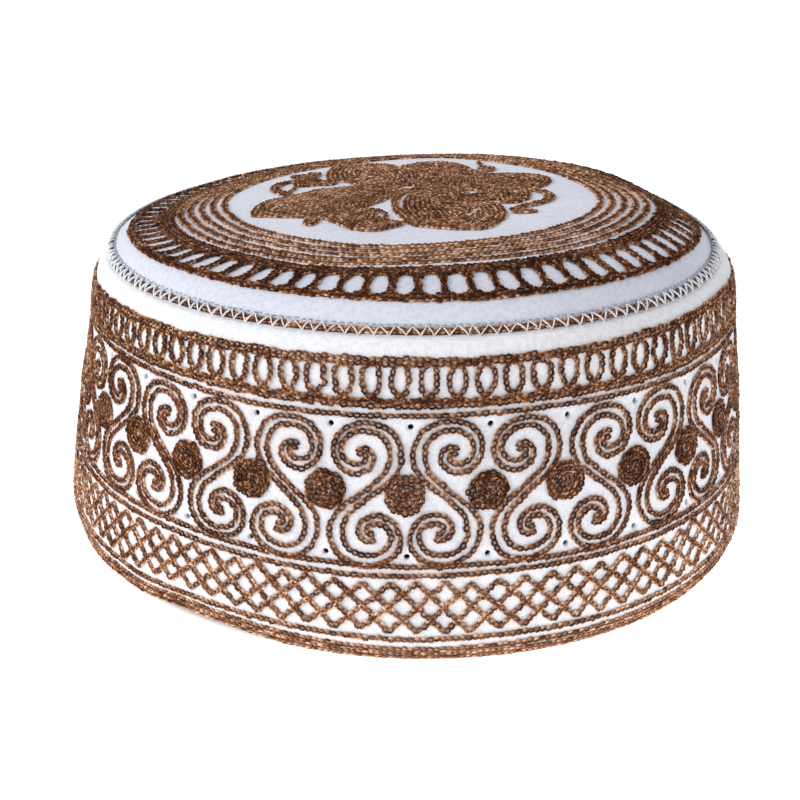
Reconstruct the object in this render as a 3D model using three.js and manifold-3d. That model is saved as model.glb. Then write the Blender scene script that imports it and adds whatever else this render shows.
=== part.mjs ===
// Embroidered prayer cap: a flared side band, a low domed crown and the cord in the seam between them.
// Millimetres, +Z up. The origin is the middle of the rim, on the plane that the cap rests on.

import * as THREE from 'three';
import { mergeVertices } from 'three/addons/utils/BufferGeometryUtils.js';
import Module from 'manifold-3d';

const wasm = await Module();
wasm.setup();

// Driving dimensions
const CLOTH_THICKNESS = 1.8;
const RIM_FLAT_WIDTH = 1.6;
const SEAM_CORD_RADIUS = 1.1;
const SEAM_CORD_PROUD = 0.5;
const SEAM_GAP = 0.3;
const SEAM_CORD_SIDES = 8;
const FACETS_AROUND = 96;

// Eyelets between the scrolls, one for each scroll in an upper and a lower ring
const EYELETS_AROUND = 32;
const EYELET_RADIUS = 0.65;
const EYELET_SIDES = 6;
const EYELET_RING_HEIGHTS = [54.2, 24.6];
const FIRST_EYELET_ANGLE = THREE.MathUtils.degToRad(-89.6);
const EYELET_CUTTER_LENGTH = 12;

// Outer face of the side band, from the rim up and over the shoulder to the seam.
// lean is how far the row's right end lies above its middle, and its left end below.
const SIDE_ROWS = [
  { radius: 94.1, height: 0.0, lean: 0.0 },
  { radius: 94.6, height: 0.7, lean: 0.0 },
  { radius: 94.7, height: 3.0, lean: 0.1 },
  { radius: 93.8, height: 10.0, lean: 0.4 },
  { radius: 92.5, height: 20.0, lean: 0.7 },
  { radius: 90.8, height: 34.0, lean: 1.3 },
  { radius: 89.1, height: 47.0, lean: 1.7 },
  { radius: 87.7, height: 57.5, lean: 2.0 },
  { radius: 86.5, height: 67.0, lean: 2.0 },
  { radius: 85.9, height: 69.4, lean: 2.0 },
  { radius: 84.7, height: 71.1, lean: 1.9 },
  { radius: 82.1, height: 73.4, lean: 1.7 },
];

// Outer face of the crown, from the seam in to the middle
const CROWN_ROWS = [
  { radius: 82.1, height: 73.4, lean: 1.7 },
  { radius: 80.2, height: 75.4, lean: 1.6 },
  { radius: 78.6, height: 77.2, lean: 1.6 },
  { radius: 76.4, height: 78.7, lean: 1.9 },
  { radius: 70.5, height: 80.5, lean: 3.0 },
  { radius: 63.3, height: 82.0, lean: 3.3 },
  { radius: 48.9, height: 82.9, lean: 2.5 },
  { radius: 27.0, height: 83.7, lean: 1.3 },
  { radius: 0.0, height: 84.1, lean: 0.0 },
];

const whiteCloth = new THREE.MeshStandardMaterial({ color: 0xeeeef4, roughness: 0.9, metalness: 0 });
const crownCloth = new THREE.MeshStandardMaterial({ color: 0xe9e9f2, roughness: 0.9, metalness: 0 });
const brownThread = new THREE.MeshStandardMaterial({ color: 0x7a5238, roughness: 0.7, metalness: 0 });

// Unit direction from one row of a face to another, in the radius and height plane
function rowDirection(from, to) {
  return new THREE.Vector2(to.radius - from.radius, to.height - from.height).normalize();
}

// The row moved along a direction in the radius and height plane
function moveRow(row, direction, distance) {
  return {
    radius: row.radius + direction.x * distance,
    height: row.height + direction.y * distance,
    lean: row.lean,
  };
}

// Direction into the cloth at one row: square to the mean of the two stretches that meet there
function inwardAt(rows, index) {
  const before = rows[Math.max(index - 1, 0)];
  const after = rows[Math.min(index + 1, rows.length - 1)];
  const along = rowDirection(before, after);
  return new THREE.Vector2(-along.y, along.x);
}

// Inner face: every row of the outer face moved in by the cloth's thickness
function innerRows(rows) {
  return rows.map((row, index) => moveRow(row, inwardAt(rows, index), CLOTH_THICKNESS));
}

// Solid of revolution through a ring of rows, each tipped by its lean along X.
// Its rows run with the material on their left, so its faces point out.
function leaningLathe(rows) {
  const outline = rows.map((row) => new THREE.Vector2(row.radius, row.height));
  const geometry = new THREE.LatheGeometry(outline, FACETS_AROUND);
  geometry.rotateX(Math.PI / 2);
  const position = geometry.attributes.position;
  for (let index = 0; index < position.count; index += 1) {
    const row = rows[index % rows.length];
    if (row.radius > 0) {
      const tip = row.lean * position.getX(index) / row.radius;
      position.setZ(index, position.getZ(index) + tip);
    }
  }
  geometry.computeVertexNormals();
  return geometry;
}

// Closed geometry to manifold solid
function toSolid(geometry) {
  const plain = geometry.clone();
  plain.deleteAttribute('normal');
  plain.deleteAttribute('uv');
  const merged = mergeVertices(plain);
  const mesh = new wasm.Mesh({
    numProp: 3,
    vertProperties: new Float32Array(merged.attributes.position.array),
    triVerts: new Uint32Array(merged.index.array),
  });
  return new wasm.Manifold(mesh);
}

// Manifold solid back to geometry
function toGeometry(solid) {
  const mesh = solid.getMesh();
  const geometry = new THREE.BufferGeometry();
  geometry.setAttribute('position', new THREE.BufferAttribute(mesh.vertProperties, 3));
  geometry.setIndex(new THREE.BufferAttribute(mesh.triVerts, 1));
  geometry.computeVertexNormals();
  return geometry;
}

// The face's value between its rows at a given height
function valueAtHeight(rows, height, column) {
  const upper = rows.findIndex((row) => row.height >= height);
  const low = rows[upper - 1];
  const high = rows[upper];
  const share = (height - low.height) / (high.height - low.height);
  return low[column] + share * (high[column] - low[column]);
}

// Small round punch that lies across the side band at one eyelet
function eyeletCutter(height, angle) {
  const radius = valueAtHeight(SIDE_ROWS, height, 'radius') - CLOTH_THICKNESS / 2;
  const lean = valueAtHeight(SIDE_ROWS, height, 'lean');
  const cutter = new THREE.CylinderGeometry(EYELET_RADIUS, EYELET_RADIUS, EYELET_CUTTER_LENGTH, EYELET_SIDES);
  cutter.rotateZ(Math.PI / 2);
  cutter.rotateZ(angle);
  cutter.translate(
    radius * Math.cos(angle),
    radius * Math.sin(angle),
    height + lean * Math.cos(angle),
  );
  return cutter;
}

// Side band: a hollow flared wall with a flat rim below, cut square to the cloth at the seam
function sideWall() {
  const last = SIDE_ROWS.length - 1;
  const towardsSeam = rowDirection(SIDE_ROWS[last - 1], SIDE_ROWS[last]);
  const outer = [
    ...SIDE_ROWS.slice(0, last),
    moveRow(SIDE_ROWS[last], towardsSeam, -(SEAM_CORD_RADIUS + SEAM_GAP)),
  ];
  const inner = innerRows(outer);
  inner[0] = { radius: outer[0].radius - RIM_FLAT_WIDTH, height: 0, lean: 0 };
  const ring = [...outer, ...inner.reverse(), outer[0]];
  let solid = toSolid(leaningLathe(ring));
  for (const height of EYELET_RING_HEIGHTS) {
    for (let index = 0; index < EYELETS_AROUND; index += 1) {
      const angle = FIRST_EYELET_ANGLE + (index * 2 * Math.PI) / EYELETS_AROUND;
      solid = solid.subtract(toSolid(eyeletCutter(height, angle)));
    }
  }
  const mesh = new THREE.Mesh(toGeometry(solid), whiteCloth);
  mesh.name = 'side_wall';
  return mesh;
}

// Crown: a low dome of the same cloth, its edge cut square at the seam
function crown() {
  const fromSeam = rowDirection(CROWN_ROWS[0], CROWN_ROWS[1]);
  const outer = [
    moveRow(CROWN_ROWS[0], fromSeam, SEAM_CORD_RADIUS + SEAM_GAP),
    ...CROWN_ROWS.slice(1),
  ];
  const inner = innerRows(outer);
  const middle = outer.length - 1;
  inner[middle] = { radius: 0, height: outer[middle].height - CLOTH_THICKNESS, lean: 0 };
  const ring = [...inner.reverse(), ...outer];
  const mesh = new THREE.Mesh(leaningLathe(ring), crownCloth);
  mesh.name = 'crown';
  return mesh;
}

// Seam cord: a round brown cord that lies between the two cloth edges and stands a little proud
function seamCord() {
  const seam = CROWN_ROWS[0];
  const along = rowDirection(SIDE_ROWS[SIDE_ROWS.length - 2], CROWN_ROWS[1]);
  const inward = new THREE.Vector2(-along.y, along.x);
  const centre = moveRow(seam, inward, SEAM_CORD_RADIUS - SEAM_CORD_PROUD);
  const ring = [];
  for (let side = 0; side <= SEAM_CORD_SIDES; side += 1) {
    const angle = (side * 2 * Math.PI) / SEAM_CORD_SIDES;
    const direction = new THREE.Vector2(Math.cos(angle), Math.sin(angle));
    ring.push(moveRow(centre, direction, SEAM_CORD_RADIUS));
  }
  const mesh = new THREE.Mesh(leaningLathe(ring), brownThread);
  mesh.name = 'seam_cord';
  return mesh;
}

const cap = new THREE.Group();
cap.add(sideWall(), crown(), seamCord());

export default cap;
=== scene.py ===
# Looks of an embroidered prayer cap: cloth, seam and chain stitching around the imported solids.
# Lengths are in millimetres and turned into metres where a mesh, light or camera is written.

import math

import bpy
import numpy as np
from mathutils import Matrix, Vector


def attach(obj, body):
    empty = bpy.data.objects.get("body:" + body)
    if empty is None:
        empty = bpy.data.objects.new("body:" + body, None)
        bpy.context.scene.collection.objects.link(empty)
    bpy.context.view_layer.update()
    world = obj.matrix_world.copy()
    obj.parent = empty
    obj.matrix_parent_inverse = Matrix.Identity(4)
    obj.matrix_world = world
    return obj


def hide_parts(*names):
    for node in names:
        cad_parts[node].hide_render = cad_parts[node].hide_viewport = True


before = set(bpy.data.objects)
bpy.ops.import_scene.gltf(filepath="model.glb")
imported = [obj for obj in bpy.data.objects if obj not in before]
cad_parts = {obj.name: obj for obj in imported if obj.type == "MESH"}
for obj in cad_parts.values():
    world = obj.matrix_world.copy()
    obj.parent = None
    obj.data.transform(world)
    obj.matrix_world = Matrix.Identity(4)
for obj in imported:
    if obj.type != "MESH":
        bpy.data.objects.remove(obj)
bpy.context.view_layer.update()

METRES = 0.001
TURN = 2 * math.pi
FRONT_ANGLE = -math.pi / 2
WHOLE_DEGREES = np.arange(-180, 181)
rng = np.random.default_rng(7)

# Outer face of the side band from the rim to the seam: radius, height, lean, squeeze.
# Lean is how far a row's right end lies above its middle, and its left end below.
# Squeeze is how far its left and right ends lie inside the radius.
SIDE_ROWS = (
    (94.1, 0.0, 0.0, 0.0),
    (94.6, 0.7, 0.0, 0.0),
    (94.7, 3.0, 0.1, 0.0),
    (93.8, 10.0, 0.4, 0.0),
    (92.5, 20.0, 0.7, 0.0),
    (90.8, 34.0, 1.3, 0.3),
    (89.1, 47.0, 1.7, 1.0),
    (87.7, 57.5, 2.0, 1.4),
    (86.5, 67.0, 2.0, 1.9),
    (85.9, 69.4, 2.0, 2.2),
    (84.7, 71.1, 1.9, 2.3),
    (82.1, 73.4, 1.7, 2.1),
)

# Outer face of the crown from the seam to the middle: radius, height, lean, squeeze
CROWN_ROWS = (
    (82.1, 73.4, 1.7, 2.1),
    (80.2, 75.4, 1.6, 1.9),
    (78.6, 77.2, 1.6, 1.5),
    (76.4, 78.7, 1.9, 1.1),
    (70.5, 80.5, 3.0, 0.4),
    (63.3, 82.0, 3.3, 0.0),
    (48.9, 82.9, 2.5, 0.0),
    (27.0, 83.7, 1.3, 0.0),
    (0.0, 84.1, 0.0, 0.0),
)

CLOTH_THICKNESS = 1.8
SEAM_HALF_WIDTH = 0.9
SQUEEZE_POWER = 4

# Steps along smooth curves
FACE_STEP = 0.25
CHAIN_STEP = 0.3
OUTLINE_STEP = 0.4
GAP_STEP = 0.2
FEWEST_STEPS = 8

# Side pattern: distances up the cloth from the rim, and around it at the pattern radius
PATTERN_RADIUS = 90.5
PATTERN_AROUND = TURN * PATTERN_RADIUS
UNITS_AROUND = 32
UNIT_PITCH = PATTERN_AROUND / UNITS_AROUND
LINE_HEIGHTS = (0.1, 1.5, 2.8, 5.1, 20.2, 22.4, 57.1)
LINE_TINTS = (0.22, 0.2, 0.18, 0.16, 0.08, 0.05, 0.05)
LINE_POINTS = 1138
LATTICE_LOW = 7.0
LATTICE_HIGH = 18.6
LATTICE_PERIODS = 24
LATTICE_PHASES = (0.0, 3.6, 7.5, 11.1)
PHASES_IN_PERIOD = 15.0
LATTICE_SHIFT = -2.75
LATTICE_POINTS = 12
SCROLL_MIDDLE = 39.2
DOT_RISE = 0.3
DOT_RADIUS = 4.15
DOT_SPACING = 1.05
DOT_OUTER_TURNS = 0.9
DOT_LEAST_RADIUS = 0.3
DOT_POINTS = 160
SIDE_OVALS = 90
SIDE_OVAL_SHIFT = -2.0
SIDE_LADDER_ROWS = (59.3, 60.2, 68.6, 69.4)

# Rise of stitching that lies over other stitching
OVERLAY = 0.1
LATTICE_OVERLAY = 0.12
LOBE_OVERLAY = 0.08
CURL_OVERLAY = 0.12

# Spreads of what the hand varies: places along and across, and sizes as shares
PLACE_SPREAD = 0.15
CORNER_SPREAD = 0.25
OVAL_PLACE_SPREAD = 0.1
SCROLL_SIZE_SPREAD = 0.01
SIDE_OVAL_SPREAD = 0.04
CROWN_OVAL_SPREAD = 0.05

# Drift of the single lines: how far they wander, in which waves around, and from which seeds
LINE_WANDER = 0.12
LADDER_WANDER = 0.1
RING_WANDER = 0.15
WANDER_WAVES = (2, 3, 5, 9, 17, 31)
SIDE_LADDER_SEED = 20
RING_SEED = 40
CROWN_LADDER_SEED = 60

# How far the hand-guided rows lie above their even places,
# by degrees from the front and distance up the cloth
ROW_ANGLES = (-180, -110, -75, -60, -45, -30, -15, 0, 15, 30, 45, 60, 75, 110, 180)
ROW_DRIFT = {
    3.0: (0, 0.4, 0.9, 0.5, 0.3, 0.8, 0.6, 0, 0.5, 0.1, 0.5, 0.9, 0.5, 0.2, 0),
    12.0: (0, 0.4, 0.8, 1.0, 1.25, 1.45, 0.75, 0, 0.25, 0.15, 0.45, 0.2, 0, 0, 0),
    21.0: (0, 0.6, 1.2, 1.3, 1.5, 1.4, 0.5, 0, 0.7, 0.1, 0.2, 0, 0, 0, 0),
    39.0: (-0.3, 0, 2.0, 1.9, 1.8, 0.6, 0.2, -0.1, 0.5, 0, -0.3, -0.2, 0.2, -0.3, -0.3),
    58.5: (-1.8, -1.8, 1.3, 1.4, 1.1, 0.6, 0, -0.1, 0.3, -0.1, -0.5, -0.5, -0.2, -1.8, -1.8),
    69.0: (-3.6, -3.6, -2.0, -0.5, -0.4, 0, 0, 0, -0.2, 0, 0.2, 0.2, -0.9, -3.6, -3.6),
}
# How far the pattern lies to the right of its even places, by degrees from the front
AROUND_DRIFT = (0, 0.5, 0.9, 0.6, 0.8, 0.1, -0.4, -0.4, -0.5, 1.0, 2.9, 4.9, 5.0, 2.5, 0)
DRIFT_BLEND = 10
# Soft waves of the rim: degrees from the front, spread, lift and inward dent
RIM_WAVES = (
    (-33.0, 17.0, 1.5, 0.9),
    (-41.5, 4.5, -1.1, 0.0),
    (-66.0, 9.0, 0.0, 1.7),
    (-86.0, 12.0, 0.2, 1.2),
    (62.0, 16.0, 0.3, 0.8),
    (82.0, 12.0, 0.0, -0.4),
)

# One arm of the S scroll, from the unit's middle to the upper curl: right, up
SCROLL_OUTER = (
    (-0.55, -0.65), (-2.65, 1.0), (-5.2, 3.4), (-6.95, 5.8), (-7.6, 8.2), (-7.2, 11.1), (-5.9, 13.8),
    (-3.4, 15.7), (-0.1, 16.4), (2.9, 16.05), (5.95, 14.3), (7.5, 11.6), (7.5, 9.0), (6.2, 6.3),
    (3.9, 4.8), (1.4, 4.7), (-0.6, 6.0), (-1.6, 8.2), (-0.9, 10.0), (0.9, 10.8), (2.4, 10.2),
)
SCROLL_INNER = (
    (0.55, 0.65), (-1.9, 2.9), (-3.5, 4.4), (-4.55, 6.6), (-4.9, 9.0), (-4.3, 11.7), (-2.4, 13.7),
    (0.4, 14.3), (3.2, 13.7), (5.2, 11.9), (5.8, 9.5), (4.9, 7.6), (3.2, 6.7), (1.1, 6.9), (0.1, 8.2),
    (0.9, 9.4), (2.1, 9.0),
)

# One oval of the side ladder, from a joint to its far end: right, up
SIDE_OVAL_HALF = (
    (-3.05, 60.1), (-1.5, 60.4), (0.3, 61.3), (1.75, 63.2), (2.0, 65.4), (1.6, 67.4), (0.0, 68.6),
)

# Soft waves of the side band's cloth: size, waves around, phase, and change of phase up the cloth
SIDE_WAVES = ((0.30, 3, 1.1, 0.0), (0.22, 5, -0.7, 0.03), (0.12, 11, 2.0, 0.05), (0.05, 32, 0.0, 0.22))
# Soft waves of the crown's cloth: size, then reach and phase to the right and back
CROWN_WAVES = (0.25, 13.0, 0.6, 15.0, -0.4)
# One more that runs slanted: size and reach
CROWN_SLANT_WAVE = (0.12, 8.0)

# Distances over which the waves fade out, and radii between which the sag and the drifts set in
SIDE_RIM_FADE = 12.0
SIDE_SEAM_FADE = 8.0
RIM_WAVE_FADE = 16.0
CROWN_FADE = 10.0
SAG_FADE = 6.0
SAG_RADII = (44.0, 68.0)
RING_DRIFT_RADII = (40.0, 50.0)
LADDER_DRIFT_RADII = (60.0, 66.0)

# Sag of the crown's back half, and how far its rings and its ladder lie outside their even radii,
# by degrees from the front
CROWN_ANGLES = (
    -180, -165, -135, -118, -105, -90, -75, -60, -30, 0, 30, 60, 75, 90, 102, 112, 122, 135, 150, 180,
)
CROWN_SAG = (1.3, 2.1, 2.4, 3.1, 2.6, 1.5, 0.5, 0, 0, 0, 0, 0, 0.5, 2.2, 2.9, 2.5, 1.4, 1.1, 1.2, 1.3)
RING_DRIFT = (
    1.8, 1.6, 1.4, 1.8, 1.6, 1.2, 0.4, 0, 0.6, 0.5, 0.4, 0.8, 0.1, -1.3, -1.5, -2.5, -3.1, -3.1, -2.2, 1.8,
)
LADDER_DRIFT = (
    -1.5, -1.0, -1.0, -1.0, -1.0, -1.0, -0.4, -0.2, -0.7, -0.2, -0.6, 0, -0.3, -0.8, -1.0, -1.5, -1.5, -1.5,
    -1.5, -1.5,
)

# Crown pattern: radii, and one oval of the crown ladder from a joint to its far end: right, radius
CROWN_RINGS = (49.7, 52.7, 55.7, 58.7, 61.7)
RING_POINTS = 900
CROWN_OVALS = 80
CROWN_OVAL_SHIFT = -1.8
CROWN_OVAL_RADIUS = 71.0
CROWN_LADDER_ROWS = (65.0, 66.1, 67.0, 76.8)
CROWN_OVAL_HALF = (
    (-2.9, 76.7), (-1.5, 76.75), (0.2, 76.5), (1.6, 76.0), (2.4, 75.0), (2.65, 73.5), (2.6, 71.4),
    (2.35, 69.4), (1.6, 67.9), (0.0, 67.3),
)

# Medallion outlines on the crown: right, back from its middle. Each is filled with stitching.
PETALS = {
    "left": (
        (-3, -3), (-6.1, -6.7), (-8.7, -12), (-11.4, -15.3), (-15.9, -21.3), (-22, -24.8),
        (-27.1, -24.9), (-32.3, -23.5), (-37, -22), (-41.6, -20.2), (-42.0, -16.7), (-41.2, -10.8),
        (-38.8, -5.5), (-34.5, -2.3), (-30.8, 0.6), (-27, 4.6), (-21, 6.6), (-13.1, 8), (-6, 6), (-1, 1),
    ),
    "front": (
        (-2, -0.5), (-4.6, -2), (-5.7, -7), (-6, -14.3), (-5.4, -20.4), (-3.8, -25.9), (-2, -31),
        (0, -34), (3.9, -35.6), (8.3, -37.4), (12.4, -38.3), (16.5, -38.2), (18.7, -36.6), (20.8, -32.6),
        (22.8, -27.7), (23.5, -23.6), (23.1, -18.3), (21.6, -12.8), (18, -9.8), (14.5, -8.2),
        (12.4, -4.2), (9, -1), (4, 0.5),
    ),
    "right": (
        (4, 3), (8.7, 10.5), (12, 14.5), (17, 19), (23.2, 20.6), (27.5, 21), (33.2, 20.3), (37, 17.7),
        (38.3, 13.7), (37.6, 9.7), (35.5, 5.2), (32, 1.9), (27, 1.2), (20, -0.3), (13, -1), (6, -0.5),
    ),
    "back": (
        (-1, 1), (-8, 7.4), (-14, 8.6), (-17, 9.8), (-19, 13.2), (-23.6, 14.6), (-25.2, 21.2),
        (-25.6, 27), (-25.2, 33), (-23.8, 39), (-22, 45.2), (-19.8, 43.4), (-17.4, 41.2), (-14.2, 40.8),
        (-9.6, 38.9), (-6.3, 35.8), (-4.2, 31.5), (-1.5, 24), (1, 12),
    ),
}
LOBES = {
    "front": (
        (-21.3, -28), (-19.1, -31.8), (-16.6, -35.3), (-12.7, -37.9), (-9.4, -37.9), (-6.4, -36.9),
        (-3.6, -34.2), (-2, -31.2), (-4.3, -29.7), (-6.3, -28.6), (-6.6, -24.4), (-7.7, -21),
        (-9.7, -18.6), (-12, -18), (-14, -19.6), (-16.5, -22.3), (-19.5, -25),
    ),
    "joint": (
        (-3.9, 32.8), (-2.6, 22), (-1.7, 13.7), (-0.6, 8.3), (0.4, 1.5), (6.3, 1.0), (5.9, 10.5),
        (3.4, 17.3), (2, 27.2), (-1, 35.7),
    ),
    "right_base": (
        (8, -2), (11, 3.5), (16, 1.5), (22, 0), (22.5, -4), (22, -9.5), (18.5, -10.5), (14.5, -9),
        (10.5, -5),
    ),
    "back_base": ((8.5, 25), (12, 27.5), (16.5, 27), (18.5, 22), (17.5, 16), (11.5, 12.5), (7.5, 15)),
    "bridge": ((-27, 13), (-25, 9.4), (-21.8, 10), (-21.4, 13.4), (-24, 15.5)),
    "right": (
        (22, 1), (30.5, 0.5), (31.2, -3), (30.7, -6.6), (29.2, -10.8), (26.2, -13.3), (22.8, -12.8),
        (21.4, -9.5), (21.6, -4),
    ),
    "left": ((-33, 19.5), (-28, 20), (-25.5, 16.5), (-24.5, 12), (-27, 9.4), (-31.5, 9.4), (-32.6, 14)),
    "back": (
        (-3, 30), (-1.2, 35), (1.8, 38), (5.7, 38.7), (9.3, 37.6), (12.5, 35.5), (14.8, 32), (16.3, 28),
        (15.8, 26), (11.5, 25.2), (9.2, 22), (9.5, 17), (11, 13.5), (4, 4), (1, 8), (1.5, 15), (2.5, 20),
        (0, 25),
    ),
    "left_bud": (
        (-35, 24), (-34.6, 28.6), (-32.6, 27.2), (-31.2, 27.6), (-30.4, 30.4), (-27.8, 30), (-26.9, 24),
        (-28, 20), (-33, 19.5),
    ),
}
BUD_POINTS = 24
# Buds: right, back, half width, half depth
BUDS = {
    "front": (-25.4, -28.6, 2.1, 3.9),
    "right": (27.9, -21.9, 3.7, 2.0),
    "back": (20.9, 27.6, 2.8, 4.4),
}
# Single chains between the lobes
CURLS = {
    "front_stalk": ((-23.3, -26.2), (-21.6, -27), (-20, -29.2)),
    "right_outer": (
        (29, 1.6), (32.4, 1.3), (35.2, -1.3), (36.5, -5.5), (35.8, -9.9), (33.3, -13.8), (30.2, -16.1),
        (27.7, -17.9), (25.8, -20.6),
    ),
    "right_inner": (
        (29, 0.2), (31.9, -0.1), (34.1, -2.2), (35, -5.5), (34.4, -9.1), (32.3, -12.5), (29.4, -14.8),
        (26.6, -16.9), (24.6, -20),
    ),
    "left_outer": (
        (-33.6, 19.8), (-36.2, 17.7), (-38.3, 14), (-39.1, 9.7), (-38.3, 5), (-36.1, 1.3), (-34, -1.2),
    ),
    "left_inner": (
        (-33, 18.6), (-35, 16.9), (-36.9, 13.6), (-37.6, 9.7), (-36.9, 5.4), (-34.9, 2), (-32.9, -0.4),
    ),
    "left_stalk": ((-33.4, 19.5), (-33, 13.5), (-32.6, 8.5), (-33.3, 4), (-34.5, 1)),
    "back_spike": ((19.2, 32), (19.3, 36), (19.4, 40)),
    "back_top": ((14, 15), (17.5, 19), (20, 23.5)),
}

# Bare slits and holes left open in the medallion's stitching: clearance that the rows keep, and the
# line that they keep it from: right, back
GAPS = (
    (1.15, ((-1.6, -2.2), (-2.7, -6.1), (-3.4, -11.8), (-3.5, -17))),
    (1.15, ((15.8, -17.5), (14.9, -21), (13.5, -23.9))),
    (1.15, ((18.1, -26), (16.7, -28.7), (15.5, -30.4))),
    (1.25, ((-34.6, -9), (-35.8, -12), (-37, -15))),
    (1.6, ((-8.4, -24), (-8.6, -25))),
    (1.8, ((-17.6, -25.2), (-18.2, -25.6))),
    (1.9, ((-3.1, 4.8), (-1.2, 4.7))),
    (2.0, ((14.8, -1.6), (17, -1.9))),
    (1.6, ((20.3, -5.4), (20.4, -5.7))),
    (1.5, ((4.8, 17.8), (7, 17.8))),
    (1.9, ((13.4, 25), (14.9, 24.4))),
)

# Filling of an outline: rows parallel to its edge, then short rows over what they leave bare
FIRST_ROW_DEPTH = 0.7
FILL_SPACING = 1.35
DEPTH_STEP = 0.2
DEEPEST_ROW = 30.0
RIDGE_TOLERANCE = 0.08
FEWEST_POINTS = 5
ROW_BREAK = 1.2
BARE_REACH = 0.8
BARE_MARGIN = 0.15
PATCH_REACH = 2.0
PATCH_GRID = 0.5
PATCH_POINTS = np.linspace(-1.0, 1.0, 9)

# Seam: braid of two chains that spread apart towards the right, white zigzag over it, grey dashes above it
SEAM_CORD_RADIUS = 0.95
SEAM_CORD_DEPTH = 0.75
SEAM_CORD_SIDES = 8
SEAM_CORD_POINTS = 360
SEAM_CORD_TONE = 0.3
BRAID_SPREAD = (0.35, 0.3)
BRAID_POINTS = 1200
ZIGZAG_PERIODS = 160
ZIGZAG_REACH = (0.95, 1.25)
ZIGZAG_RADIUS = (0.16, 0.31)
ZIGZAG_CHANGE = (12.0, 55.0)
ZIGZAG_SHARES = np.array([0.0, 0.12, 0.35, 0.65, 0.88])
ZIGZAG_LIFTS = np.array([0.0, 0.3, 0.6, 0.6, 0.3])
ZIGZAG_CORNER_SPREAD = 0.22
ZIGZAG_REACH_SPREAD = 0.1
THREAD_SIDES = 4
DASH_COUNT = 300
DASH_OFFSET = 1.3
DASH_RADIUS = 0.17
DASH_LIFTS = np.array([-0.1, 0.06, 0.1, 0.06, -0.1])
DASH_HALF_LENGTH = (0.28, 0.42)
DASH_PLACE_SPREAD = 0.08
DASH_OFFSET_SPREAD = 0.07

# Chain stitch: one link's loop of thread, from the base round its head: along, aside, up
LINK_LENGTH = 1.45
DOT_LINK_LENGTH = 1.3
STRAND_RADIUS = 0.315
STRAND_FLATNESS = 0.8
STRAND_SIDES = 4
PLY_LENGTH = 0.7
LINK_LOOP = (
    (-0.22, 0.00, 0.06),
    (0.42, 0.49, 0.36),
    (1.24, 0.34, 0.20),
    (1.24, -0.34, 0.20),
    (0.42, -0.49, 0.36),
)
# Reach of the painted shade at each link's two joins; between them the tone rises to a painted highlight
JOIN_SHADE_SPREAD = 0.7
FLOOR_GAP = 0.03

# How links differ: turn, width, place aside and height, then tone, and tone between a link's two sides
YAW_SPREAD = 0.07
WIDTH_SPREAD = 0.09
ASIDE_SPREAD = 0.06
HEIGHT_SPREAD = 0.12
TONE_LOW = 0.55
TONE_RANGE = 0.7
SIDE_TONE_SPREAD = 0.28
SIDE_TONE_LIMIT = 1.2
DARKEST_TONE = 0.06

# Eyelets: distances up the cloth and to the right of each dot, and rings from the outer face in: radius and
# rise. Each opens a block of cells in the cloth's grid.
EYELET_HEIGHTS = (54.6, 24.7)
EYELET_SHIFT = 0.6
EYELET_RINGS = ((1.25, -0.02), (0.9, -0.12), (0.65, -0.45), (0.65, -1.4), (1.2, -CLOTH_THICKNESS))
EYELET_ROW_STEP = 1.5
BLOCK_HALF = 2
BLOCK = np.arange(-BLOCK_HALF, BLOCK_HALF)
BLOCK_SPOTS = 8 * BLOCK_HALF

# Cloth grids
SIDE_COLUMNS = 256
SIDE_ROW_STEP = 1.8
CROWN_COLUMNS = 128
CROWN_ROW_STEP = 2.0
CROWN_MIDDLE_GAP = 0.4

# Colours by position on a ramp. A single number is a grey.
SIDE_CLOTH = ((0.3, (0.85, 0.85, 0.895)), (0.7, (0.90, 0.905, 0.945)))
# The crown's cotton: a darker, bluer copy of the side's white cotton, as painted shade
CROWN_SHADED_CLOTH = ((0.3, (0.74, 0.76, 0.87)), (0.7, (0.79, 0.815, 0.91)))
CLOTH_SPECKS = ((0.42, (0.9, 0.91, 0.93)), (0.55, 1.0))
WHITE_THREAD = (0.86, 0.87, 0.92)
GREY_THREAD = (0.42, 0.44, 0.53)
DARK_FIBRES = 0.8
BROWN_STOPS = (
    (0.0, (0.012, 0.003, 0.0008)),
    (0.35, (0.11, 0.034, 0.012)),
    (0.65, (0.355, 0.166, 0.081)),
    (1.0, (0.87, 0.555, 0.375)),
)
SLATE_STOPS = (
    (0.0, (0.009, 0.008, 0.008)),
    (0.35, (0.028, 0.025, 0.027)),
    (0.65, (0.085, 0.08, 0.09)),
    (1.0, (0.27, 0.27, 0.31)),
)

# Painted shade of the cloth by metres above the rim: the side band darker below its shoulder, most in the
# scroll band, and the crown darker low on its shoulder
SIDE_PAINTED_SHADE = (
    (0.019, (0.93, 0.93, 0.935)),
    (0.026, (0.875, 0.875, 0.885)),
    (0.056, (0.875, 0.875, 0.885)),
    (0.067, 1.0),
)
CROWN_PAINTED_SHADE = ((0.0785, (0.925, 0.925, 0.93)), (0.0825, 1.0))

# Where the seam's thread starts to turn from brown to slate, and is all slate: back from the middle
SLATE_FROM = -76.0
SLATE_TO = -40.0

# Weave of the cloth and twist of the thread
WEAVE_PITCH = 0.55
WEAVE_DEPTH = 0.35
PLY_DEPTH = 0.3

# Shader values
CLOTH_FINISH = {
    "Roughness": 0.85, "Specular IOR Level": 0.25, "Sheen Weight": 0.15, "Sheen Roughness": 0.6,
}
THREAD_FINISH = {
    "Roughness": 0.55, "Specular IOR Level": 0.06, "Sheen Weight": 0.01, "Sheen Roughness": 0.4,
}
SEWING_FINISH = {"Roughness": 0.6, "Sheen Weight": 0.2}
FLOOR_FINISH = {
    "Base Color": (0.93, 0.93, 0.93, 1.0), "Roughness": 0.8, "Specular IOR Level": 0.1,
    "Emission Strength": 2.2,
}

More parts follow.
